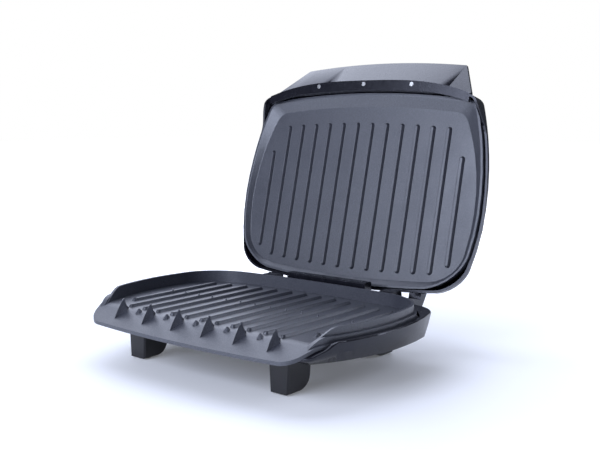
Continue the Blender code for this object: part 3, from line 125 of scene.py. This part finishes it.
# Depth of each finish's relief in metres
FINE_GRAIN_SHARE = 1 / 3
CASING_GRAIN_DEPTH = 0.00001
FOOT_GRAIN_DEPTH = 0.00003
RUBBER_DUST_DEPTH = 0.00005
STEEL_MARK_DEPTH = 0.00001
CERAMIC_SPECK_DEPTH = 0.00003

# Strength and tint of the reflections
PLATE_SPECULAR = 0.9
PLATE_TINT = (0.90, 0.93, 1.0, 1.0)
CASING_SPECULAR = 0.5
CASING_TINT = (0.84, 0.87, 1.0, 1.0)

# Second colour of each finish, as a share of the first or by itself
CASING_DARK_SHARE = 0.85
FOOT_DARK_SHARE = 0.8
RUBBER_DUST_SHARE = 2.2
STEEL_DARK_SHARE = 0.8
SHEATH_BLUE = (0.105, 0.115, 0.150)
SHIELD_DARK_SHARE = 0.85
CERAMIC_DARK_SHARE = 0.82
FLOOR_DARK_SHARE = 0.985

# Stage: lamps, floor and camera
Lamp = namedtuple("Lamp", "name size place target")
KEY_LAMP = Lamp("key_lamp", 0.9, (-0.22, -1.20, 0.60), (0.0, 0.05, 0.13))
TOP_LAMP = Lamp("top_lamp", 1.5, (-0.62, 0.60, 0.95), (0.0, 0.08, 0.18))
BACK_LAMP = Lamp("back_lamp", 0.7, (0.95, 0.75, 0.60), (0.0, 0.05, 0.10))
FLOOR_SIZE = 12.0
# Painted light of the floor: a glow that is weak near the grill as painted shade and full far from it
GLOW_COLOUR = (0.93, 0.955, 1.0, 1.0)
GLOW_REACH = (0.10, 0.75)
GLOW_STRENGTH = (0.10, 1.1)
WHITE = (1.0, 1.0, 1.0, 1.0)
SENSOR_WIDTH_MM = 36.0
VIEW_REACH = 50.0


def colour(name, description, default):
    """A colour that a user may change."""
    return FloatVectorProperty(name=name, description=description, subtype="COLOR", size=3,
                               min=0.0, max=1.0, default=default)


def share(name, description, default):
    """A share between nought and one that a user may change."""
    return FloatProperty(name=name, description=description, subtype="FACTOR", min=0.0, max=1.0,
                         default=default)


def length(name, description, default):
    """A length that a user may change."""
    return FloatProperty(name=name, description=description, subtype="DISTANCE", unit="LENGTH",
                         precision=5, min=0.0, default=default)


def turn(name, description, degrees):
    """An angle that a user may change."""
    return FloatProperty(name=name, description=description, subtype="ANGLE", unit="ROTATION",
                         default=math.radians(degrees))


def power(name, description, default):
    """A lamp's power that a user may change."""
    return FloatProperty(name=name, description=description, unit="POWER", min=0.0, default=default)


class GrillFinishes(bpy.types.PropertyGroup):
    """Colours and roughness of the grill's finishes."""
    plate_colour: colour("Plate", "Non-stick coating of the two plates", (0.026, 0.028, 0.038))
    plate_fleck: colour("Plate fleck", "Paler grains in the non-stick coating", (0.075, 0.080, 0.102))
    plate_roughness: share("Plate roughness", "Sheen of the non-stick coating", 0.41)
    plate_grain: length("Plate grain", "Depth of the coating's grain", 0.00006)
    casing_colour: colour("Casing", "Black plastic of the casings and the handle", (0.006, 0.006, 0.010))
    casing_roughness: share("Casing roughness", "Sheen of the casings and the handle", 0.22)
    foot_colour: colour("Foot", "Plastic of the feet", (0.007, 0.007, 0.011))
    rubber_colour: colour("Rubber", "Foot pads and cord gland", (0.022, 0.022, 0.024))
    steel_colour: colour("Steel", "Screws, pins, clips and thermal fuse", (0.560, 0.570, 0.590))
    sheath_colour: colour("Sheath", "Tube of the heating elements", (0.190, 0.170, 0.155))
    shield_colour: colour("Shield", "Sheet of the heat shields", (0.640, 0.650, 0.660))
    ceramic_colour: colour("Ceramic", "Thermostat and terminal block", (0.760, 0.735, 0.670))


class GrillSizes(bpy.types.PropertyGroup):
    """Sizes of the edges and small parts."""
    plate_edge: length("Plate edge", "Round of the castings' edges", 0.0003)
    handle_edge: length("Handle edge", "Round of the handle's edges", 0.0006)
    foot_edge: length("Foot edge", "Round of the feet's edges", 0.0006)
    small_edge: length("Small edge", "Round of the edges of screws, pins, clips, pads and gland", 0.00018)
    pad_grooves: IntProperty(name="Pad grooves", description="Rings pressed into each foot pad",
                             default=3, min=1, max=6)


class GrillStage(bpy.types.PropertyGroup):
    """Camera, lamps and floor."""
    camera_place: FloatVectorProperty(name="Camera", description="Place of the camera",
                                      subtype="TRANSLATION", unit="LENGTH",
                                      default=(0.50074, -0.60407, 0.20622))
    camera_azimuth: turn("Azimuth", "Turn of the camera about the vertical", 39.26)
    camera_dip: turn("Dip", "How far the camera looks down", 6.93)
    camera_lens: FloatProperty(name="Lens", description="Focal length in millimetres", default=53.57,
                               min=10.0, max=200.0)
    floor_colour: colour("Floor", "Pale table top and backdrop", (0.80, 0.82, 0.87))
    light_colour: colour("Light", "Cool tint of the lamps and the sky", (0.80, 0.85, 1.0))
    sky_strength: FloatProperty(name="Sky", description="Even light from all round", default=0.12,
                                min=0.0)
    key_power: power("Key lamp", "Large soft lamp before the grill", 19.0)
    top_power: power("Top lamp", "Soft lamp high at the left, behind", 21.0)
    back_power: power("Back lamp", "Soft lamp behind at the right", 6.0)


def new_material(name):
    """A material with its node tree and shader, ready for its pattern."""
    made = bpy.data.materials.new(name)
    made.use_nodes = True
    return made, made.node_tree, made.node_tree.nodes["Principled BSDF"]


def pattern(tree, noise):
    """A noise on Object coordinates, stretched along the axes where asked."""
    place = tree.nodes.new("ShaderNodeTexCoord")
    mapping = tree.nodes.new("ShaderNodeMapping")
    mapping.inputs["Scale"].default_value = noise.stretch
    made = tree.nodes.new("ShaderNodeTexNoise")
    made.inputs["Scale"].default_value = noise.scale
    made.inputs["Detail"].default_value = noise.detail
    made.inputs["Roughness"].default_value = noise.roughness
    tree.links.new(place.outputs["Object"], mapping.inputs["Vector"])
    tree.links.new(mapping.outputs["Vector"], made.inputs["Vector"])
    return made.outputs["Fac"]


def ramp(tree, value, low, high, span=COLOUR_SPAN):
    """Colours between two ends of a pattern."""
    made = tree.nodes.new("ShaderNodeValToRGB")
    for element, place, shown in zip(made.color_ramp.elements, span, (low, high)):
        element.position = place
        element.color = (*shown, 1.0)
    tree.links.new(value, made.inputs["Fac"])
    return made.outputs["Color"]


def spread(tree, value, source, target):
    """A number that runs from one range to another with a pattern."""
    made = tree.nodes.new("ShaderNodeMapRange")
    made.inputs["From Min"].default_value, made.inputs["From Max"].default_value = source
    made.inputs["To Min"].default_value, made.inputs["To Max"].default_value = target
    tree.links.new(value, made.inputs["Value"])
    return made.outputs["Result"]


def paint(tree, shader, value, low, high, span=COLOUR_SPAN):
    """Colours a finish with a pattern."""
    tree.links.new(ramp(tree, value, low, high, span), shader.inputs["Base Color"])


def roughen(tree, shader, value, ends):
    """Lets a finish's roughness follow a pattern."""
    tree.links.new(spread(tree, value, NUMBER_SPAN, ends), shader.inputs["Roughness"])


def bump(tree, shader, height, depth, before=None):
    """Relief of a pattern, over another relief where one is given."""
    made = tree.nodes.new("ShaderNodeBump")
    made.inputs["Strength"].default_value = 1.0
    made.inputs["Distance"].default_value = depth
    tree.links.new(height, made.inputs["Height"])
    if before:
        tree.links.new(before, made.inputs["Normal"])
    tree.links.new(made.outputs["Normal"], shader.inputs["Normal"])
    return made.outputs["Normal"]


def shaded(base, factor):
    """A colour made darker or paler by a factor."""
    return tuple(min(part * factor, 1.0) for part in base)


def changed(middle, ends):
    """Both ends of a range about a middle."""
    return tuple(middle + end for end in ends)


def plate_material(finish):
    """Dark non-stick coating: satin, with a fine grain and pale flecks."""
    made, tree, shader = new_material("non_stick")
    paint(tree, shader, pattern(tree, PLATE_FLECKS), finish.plate_colour, finish.plate_fleck, FLECK_SPAN)
    roughen(tree, shader, pattern(tree, PLATE_CLOUDS),
            changed(finish.plate_roughness, PLATE_ROUGHNESS_CHANGE))
    grain = bump(tree, shader, pattern(tree, PLATE_GRAIN), finish.plate_grain)
    fine_depth = finish.plate_grain * FINE_GRAIN_SHARE
    bump(tree, shader, pattern(tree, PLATE_FINE_GRAIN), fine_depth, before=grain)
    shader.inputs["Specular IOR Level"].default_value = PLATE_SPECULAR
    shader.inputs["Specular Tint"].default_value = PLATE_TINT
    return made


def casing_material(finish):
    """Black semi-gloss plastic with a faint moulded texture and small scuffs."""
    made, tree, shader = new_material("black_casing")
    dark = shaded(finish.casing_colour, CASING_DARK_SHARE)
    paint(tree, shader, pattern(tree, CASING_SHADE), dark, finish.casing_colour)
    roughen(tree, shader, pattern(tree, CASING_SCUFFS),
            changed(finish.casing_roughness, CASING_ROUGHNESS_CHANGE))
    bump(tree, shader, pattern(tree, CASING_GRAIN), CASING_GRAIN_DEPTH)
    shader.inputs["Specular IOR Level"].default_value = CASING_SPECULAR
    shader.inputs["Specular Tint"].default_value = CASING_TINT
    return made


def foot_material(finish):
    """Black satin plastic with a moulded grain."""
    made, tree, shader = new_material("black_foot")
    shade = pattern(tree, FOOT_SHADE)
    paint(tree, shader, shade, shaded(finish.foot_colour, FOOT_DARK_SHARE), finish.foot_colour)
    roughen(tree, shader, shade, FOOT_ROUGHNESS)
    bump(tree, shader, pattern(tree, FOOT_GRAIN), FOOT_GRAIN_DEPTH)
    return made


def rubber_material(finish):
    """Matte rubber with dust in its grain."""
    made, tree, shader = new_material("rubber")
    dust = pattern(tree, RUBBER_DUST)
    pale = shaded(finish.rubber_colour, RUBBER_DUST_SHARE)
    paint(tree, shader, dust, finish.rubber_colour, pale, DUST_SPAN)
    roughen(tree, shader, dust, RUBBER_ROUGHNESS)
    bump(tree, shader, dust, RUBBER_DUST_DEPTH)
    return made


def steel_material(finish):
    """Plain steel with fine turning marks."""
    made, tree, shader = new_material("steel")
    marks = pattern(tree, STEEL_MARKS)
    paint(tree, shader, marks, shaded(finish.steel_colour, STEEL_DARK_SHARE), finish.steel_colour)
    roughen(tree, shader, marks, STEEL_ROUGHNESS)
    bump(tree, shader, marks, STEEL_MARK_DEPTH)
    shader.inputs["Metallic"].default_value = 1.0
    return made


def sheath_material(finish):
    """Steel tube browned by heat."""
    made, tree, shader = new_material("browned_sheath")
    heat = pattern(tree, SHEATH_HEAT)
    paint(tree, shader, heat, SHEATH_BLUE, finish.sheath_colour)
    roughen(tree, shader, heat, SHEATH_ROUGHNESS)
    shader.inputs["Metallic"].default_value = 1.0
    return made


def shield_material(finish):
    """Rolled aluminium sheet with lines along its length."""
    made, tree, shader = new_material("rolled_sheet")
    lines = pattern(tree, SHIELD_LINES)
    paint(tree, shader, lines, shaded(finish.shield_colour, SHIELD_DARK_SHARE), finish.shield_colour)
    roughen(tree, shader, lines, SHIELD_ROUGHNESS)
    shader.inputs["Metallic"].default_value = 1.0
    return made


def ceramic_material(finish):
    """Pale fired ceramic with specks."""
    made, tree, shader = new_material("pale_ceramic")
    specks = pattern(tree, CERAMIC_SPECKS)
    dark = shaded(finish.ceramic_colour, CERAMIC_DARK_SHARE)
    paint(tree, shader, specks, dark, finish.ceramic_colour, SPECK_SPAN)
    roughen(tree, shader, specks, CERAMIC_ROUGHNESS)
    bump(tree, shader, specks, CERAMIC_SPECK_DEPTH)
    return made


MAKERS = {
    "plate": plate_material,
    "shell": casing_material,
    "foot": foot_material,
    "rubber": rubber_material,
    "steel": steel_material,
    "sheath": sheath_material,
    "shield": shield_material,
    "ceramic": ceramic_material,
}
made_materials = {}


def finish_for(slot):
    """The material of one of the record's slots, made once."""
    if slot not in made_materials:
        made_materials[slot] = MAKERS[slot](bpy.context.scene.grill_finishes)
    return made_materials[slot]


def deselect():
    """Leaves nothing selected."""
    if bpy.context.mode != "OBJECT":
        bpy.ops.object.mode_set(mode="OBJECT")
    bpy.ops.object.select_all(action="DESELECT")


def activate(piece):
    """Selects one piece alone."""
    deselect()
    piece.select_set(True)
    bpy.context.view_layer.objects.active = piece


def dress(piece, name, slot, body, node):
    """Names a finished piece, gives it its finish and lets it ride in place of its CAD node."""
    piece.name = name
    piece.data.name = name
    piece.data.materials.clear()
    piece.data.materials.append(finish_for(slot))
    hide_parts(node)
    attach(piece, body)


def apply_bevel(piece, width, angle=BEVEL_ANGLE):
    """Rounds a piece's sharp edges."""
    activate(piece)
    step = piece.modifiers.new("edge", "BEVEL")
    step.width = width
    step.segments = BEVEL_SEGMENTS
    step.limit_method = "ANGLE"
    step.angle_limit = math.radians(angle)
    step.use_clamp_overlap = True
    step.harden_normals = False
    bpy.ops.object.modifier_apply(modifier=step.name)


def softened(node, smooth_angle, edge=0.0, bevel_angle=BEVEL_ANGLE):
    """A joined copy of a CAD node with smooth sides and, where asked, rounded edges."""
    piece = bpy.data.objects.new(node + "_soft", frame["nodes"][node].data.copy())
    bpy.context.scene.collection.objects.link(piece)
    activate(piece)
    bpy.ops.object.mode_set(mode="EDIT")
    bpy.ops.mesh.select_all(action="SELECT")
    bpy.ops.mesh.remove_doubles(threshold=MERGE_DISTANCE)
    bpy.ops.mesh.dissolve_limited(angle_limit=math.radians(FLAT_ANGLE))
    bpy.ops.object.mode_set(mode="OBJECT")
    if edge:
        apply_bevel(piece, edge, bevel_angle)
    bpy.ops.object.shade_smooth_by_angle(angle=math.radians(smooth_angle))
    step = piece.modifiers.new("flats", "WEIGHTED_NORMAL")
    step.mode = "FACE_AREA"
    step.keep_sharp = True
    bpy.ops.object.modifier_apply(modifier=step.name)
    return piece


class GRILL_OT_finish_nodes(bpy.types.Operator):
    """Gives every CAD node its finish, so that those that stay in view have theirs"""
    bl_idname = "grill.finish_nodes"
    bl_label = "Finish CAD nodes"
    bl_options = {"REGISTER", "UNDO"}

    def execute(self, context):
        for entry in frame["record"]["subparts"]:
            node = frame["nodes"][entry["node"]]
            node.data.materials.clear()
            node.data.materials.append(finish_for(entry["material_slot"]))
        return {"FINISHED"}


class GRILL_OT_plates(bpy.types.Operator):
    """Softens the two castings and gives them their non-stick coating"""
    bl_idname = "grill.plates"
    bl_label = "Grill plates"
    bl_options = {"REGISTER", "UNDO"}

    def execute(self, context):
        edge = context.scene.grill_sizes.plate_edge
        for node, body in PLATES.items():
            piece = softened(node, PLATE_SMOOTH_ANGLE, edge, PLATE_BEVEL_ANGLE)
            dress(piece, node + "_casting", "plate", body, node)
        return {"FINISHED"}


class GRILL_OT_casings(bpy.types.Operator):
    """Smooths the two casings and gives them their black plastic"""
    bl_idname = "grill.casings"
    bl_label = "Casings"
    bl_options = {"REGISTER", "UNDO"}

    def execute(self, context):
        for node, body in CASINGS.items():
            dress(softened(node, CASING_SMOOTH_ANGLE), node + "_moulding", "shell", body, node)
        return {"FINISHED"}


class GRILL_OT_handle(bpy.types.Operator):
    """Softens the brow handle"""
    bl_idname = "grill.handle"
    bl_label = "Handle"
    bl_options = {"REGISTER", "UNDO"}

    def execute(self, context):
        piece = softened("lid_handle", HANDLE_SMOOTH_ANGLE, context.scene.grill_sizes.handle_edge)
        dress(piece, "lid_handle_moulding", "shell", "lid", "lid_handle")
        return {"FINISHED"}


class GRILL_OT_feet(bpy.types.Operator):
    """Softens the feet"""
    bl_idname = "grill.feet"
    bl_label = "Feet"
    bl_options = {"REGISTER", "UNDO"}

    def execute(self, context):
        for node in FEET:
            piece = softened(node, FOOT_SMOOTH_ANGLE, context.scene.grill_sizes.foot_edge)
            dress(piece, node + "_moulding", "foot", "base", node)
        return {"FINISHED"}


class GRILL_OT_pads(bpy.types.Operator):
    """Makes the rubber foot pads, each with rings pressed into its face"""
    bl_idname = "grill.pads"
    bl_label = "Foot pads"
    bl_options = {"REGISTER", "UNDO"}

    def execute(self, context):
        sizes = context.scene.grill_sizes
        for foot in FEET:
            low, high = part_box(foot + "_pad")
            radius = (high[0] - low[0]) / 2
            middle = (Vector(low) + Vector(high)) / 2
            deselect()
            bpy.ops.mesh.primitive_cylinder_add(vertices=PAD_VERTICES, radius=radius,
                                                depth=high[2] - low[2], location=middle)
            piece = context.object
            bpy.ops.object.transform_apply(location=True, rotation=True, scale=True)
            press_rings(piece, radius, sizes.pad_grooves)
            apply_bevel(piece, sizes.small_edge)
            bpy.ops.object.shade_smooth_by_angle(angle=math.radians(SMALL_SMOOTH_ANGLE))
            dress(piece, foot + "_grooved_pad", "rubber", "base", foot + "_pad")
        return {"FINISHED"}


def press_rings(piece, radius, count):
    """Presses rings into the lower face of a pad by insetting and sinking it."""
    activate(piece)
    bpy.ops.object.mode_set(mode="EDIT")
    bpy.ops.mesh.select_mode(type="FACE")
    bpy.ops.mesh.select_all(action="DESELECT")
    work = bmesh.from_edit_mesh(piece.data)
    lowest = min(work.faces, key=lambda face: face.calc_center_median().z)
    lowest.select = True
    work.faces.active = lowest
    bmesh.update_edit_mesh(piece.data)
    step = radius / (count * STEPS_PER_RING + MIDDLE_STEPS)
    for _ in range(count):
        bpy.ops.mesh.inset(thickness=step, depth=0.0)
        bpy.ops.mesh.inset(thickness=step * RING_WALL_SHARE, depth=-step * RING_DEPTH_SHARE)
        bpy.ops.mesh.inset(thickness=step * RING_FLOOR_SHARE, depth=0.0)
        bpy.ops.mesh.inset(thickness=step * RING_WALL_SHARE, depth=step * RING_DEPTH_SHARE)
    bpy.ops.object.mode_set(mode="OBJECT")


class GRILL_OT_fixings(bpy.types.Operator):
    """Breaks the edges of the screws, pins, clips and gland"""
    bl_idname = "grill.fixings"
    bl_label = "Fixings"
    bl_options = {"REGISTER", "UNDO"}

    def execute(self, context):
        slots = {entry["node"]: entry["material_slot"] for entry in frame["record"]["subparts"]}
        for body, nodes in frame["record"]["behaviour"]["bodies"].items():
            for node in nodes:
                if any(word in node for word in FIXING_WORDS):
                    piece = softened(node, SMALL_SMOOTH_ANGLE, context.scene.grill_sizes.small_edge)
                    dress(piece, node + "_turned", slots[node], body, node)
        return {"FINISHED"}


class GRILL_OT_stage(bpy.types.Operator):
    """Adds the pale floor, the soft lamps and the camera"""
    bl_idname = "grill.stage"
    bl_label = "Stage"
    bl_options = {"REGISTER", "UNDO"}

    def execute(self, context):
        stage = context.scene.grill_stage
        deselect()
        bpy.ops.mesh.primitive_plane_add(size=FLOOR_SIZE, location=(0.0, 0.0, 0.0))
        floor = context.object
        floor.name = "floor"
        floor.data.materials.append(floor_material(stage))
        add_lamp(KEY_LAMP, stage.key_power)
        add_lamp(TOP_LAMP, stage.top_power)
        add_lamp(BACK_LAMP, stage.back_power)
        add_sky(context.scene, stage)
        add_camera(context.scene, stage)
        context.scene.view_settings.view_transform = "Standard"
        return {"FINISHED"}


def add_lamp(lamp, watts):
    """A soft square lamp aimed at a place."""
    bpy.ops.object.light_add(type="AREA", location=lamp.place)
    made = bpy.context.object
    made.name = lamp.name
    made.data.energy = watts
    made.data.color = bpy.context.scene.grill_stage.light_colour
    made.data.shape = "SQUARE"
    made.data.size = lamp.size
    aim = Vector(lamp.target) - Vector(lamp.place)
    made.rotation_euler = aim.to_track_quat("-Z", "Y").to_euler()


def combine(tree, operation, first, second):
    """The result of one maths node on two numbers."""
    made = tree.nodes.new("ShaderNodeMath")
    made.operation = operation
    tree.links.new(first, made.inputs[0])
    tree.links.new(second, made.inputs[1])
    return made.outputs["Value"]


def floor_material(stage):
    """Pale table top with a painted glow, seen by the camera and in reflections, that is weak near the
    grill as painted shade and fades to white away from it; it keeps the grill's shadow.
    """
    made, tree, shader = new_material("table_with_painted_glow")
    low = shaded(stage.floor_colour, FLOOR_DARK_SHARE)
    paint(tree, shader, pattern(tree, FLOOR_MARKS), low, stage.floor_colour)
    shader.inputs["Roughness"].default_value = FLOOR_ROUGHNESS
    # Painted light: the floor glows for the camera and in reflections, dimmer near the grill as painted
    # shade
    glow = tree.nodes.new("ShaderNodeEmission")
    glow.inputs["Color"].default_value = GLOW_COLOUR
    place = tree.nodes.new("ShaderNodeTexCoord")
    away = tree.nodes.new("ShaderNodeVectorMath")
    away.operation = "LENGTH"
    tree.links.new(place.outputs["Object"], away.inputs[0])
    level = spread(tree, away.outputs["Value"], GLOW_REACH, GLOW_STRENGTH)
    path = tree.nodes.new("ShaderNodeLightPath")
    seen = combine(tree, "MAXIMUM", path.outputs["Is Camera Ray"], path.outputs["Is Glossy Ray"])
    tree.links.new(combine(tree, "MULTIPLY", level, seen), glow.inputs["Strength"])
    both = tree.nodes.new("ShaderNodeAddShader")
    tree.links.new(shader.outputs["BSDF"], both.inputs[0])
    tree.links.new(glow.outputs["Emission"], both.inputs[1])
    tree.links.new(both.outputs["Shader"], tree.nodes["Material Output"].inputs["Surface"])
    return made


def add_sky(scene, stage):
    """Even cool light from all round, seen as white by the camera."""
    world = bpy.data.worlds.new("white_surround")
    scene.world = world
    world.use_nodes = True
    tree = world.node_tree
    ground = tree.nodes["Background"]
    path = tree.nodes.new("ShaderNodeLightPath")
    level = tree.nodes.new("ShaderNodeMapRange")
    level.inputs["To Min"].default_value = stage.sky_strength
    level.inputs["To Max"].default_value = 1.0
    tree.links.new(path.outputs["Is Camera Ray"], level.inputs["Value"])
    tint = tree.nodes.new("ShaderNodeMix")
    tint.data_type = "RGBA"
    tint.inputs["A"].default_value = (*stage.light_colour, 1.0)
    tint.inputs["B"].default_value = WHITE
    tree.links.new(path.outputs["Is Camera Ray"], tint.inputs["Factor"])
    tree.links.new(tint.outputs["Result"], ground.inputs["Color"])
    tree.links.new(level.outputs["Result"], ground.inputs["Strength"])


def add_camera(scene, stage):
    """The camera at the photograph's angle."""
    bpy.ops.object.camera_add(location=stage.camera_place)
    made = bpy.context.object
    made.name = "photo_camera"
    made.data.sensor_width = SENSOR_WIDTH_MM
    made.data.lens = stage.camera_lens
    made.data.clip_end = VIEW_REACH
    made.rotation_euler = (math.pi / 2 - stage.camera_dip, 0.0, stage.camera_azimuth)
    scene.camera = made


class GRILL_PT_panel(bpy.types.Panel):
    """Lists the grill's finishes, sizes, stage and pieces"""
    bl_label = "Contact Grill"
    bl_idname = "GRILL_PT_panel"
    bl_space_type = "VIEW_3D"
    bl_region_type = "UI"
    bl_category = "Grill"

    def draw(self, context):
        layout = self.layout
        scene = context.scene
        for group in (scene.grill_finishes, scene.grill_sizes, scene.grill_stage):
            box = layout.box()
            for name in group.__annotations__:
                box.prop(group, name)
        for operator in OPERATORS:
            layout.operator(operator.bl_idname)


OPERATORS = (
    GRILL_OT_finish_nodes,
    GRILL_OT_plates,
    GRILL_OT_casings,
    GRILL_OT_handle,
    GRILL_OT_feet,
    GRILL_OT_pads,
    GRILL_OT_fixings,
    GRILL_OT_stage,
)
CLASSES = (GrillFinishes, GrillSizes, GrillStage, *OPERATORS, GRILL_PT_panel)


def register():
    """Registers the add-on's classes and settings."""
    for made in CLASSES:
        bpy.utils.register_class(made)
    bpy.types.Scene.grill_finishes = PointerProperty(type=GrillFinishes)
    bpy.types.Scene.grill_sizes = PointerProperty(type=GrillSizes)
    bpy.types.Scene.grill_stage = PointerProperty(type=GrillStage)


def unregister():
    """Removes the add-on's classes and settings."""
    del bpy.types.Scene.grill_stage
    del bpy.types.Scene.grill_sizes
    del bpy.types.Scene.grill_finishes
    for made in reversed(CLASSES):
        bpy.utils.unregister_class(made)


def main():
    """Registers the add-on and makes every piece."""
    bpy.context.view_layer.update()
    register()
    bpy.ops.grill.finish_nodes()
    bpy.ops.grill.plates()
    bpy.ops.grill.casings()
    bpy.ops.grill.handle()
    bpy.ops.grill.feet()
    bpy.ops.grill.pads()
    bpy.ops.grill.fixings()
    bpy.ops.grill.stage()
    deselect()


if __name__ == "__main__":
    main()
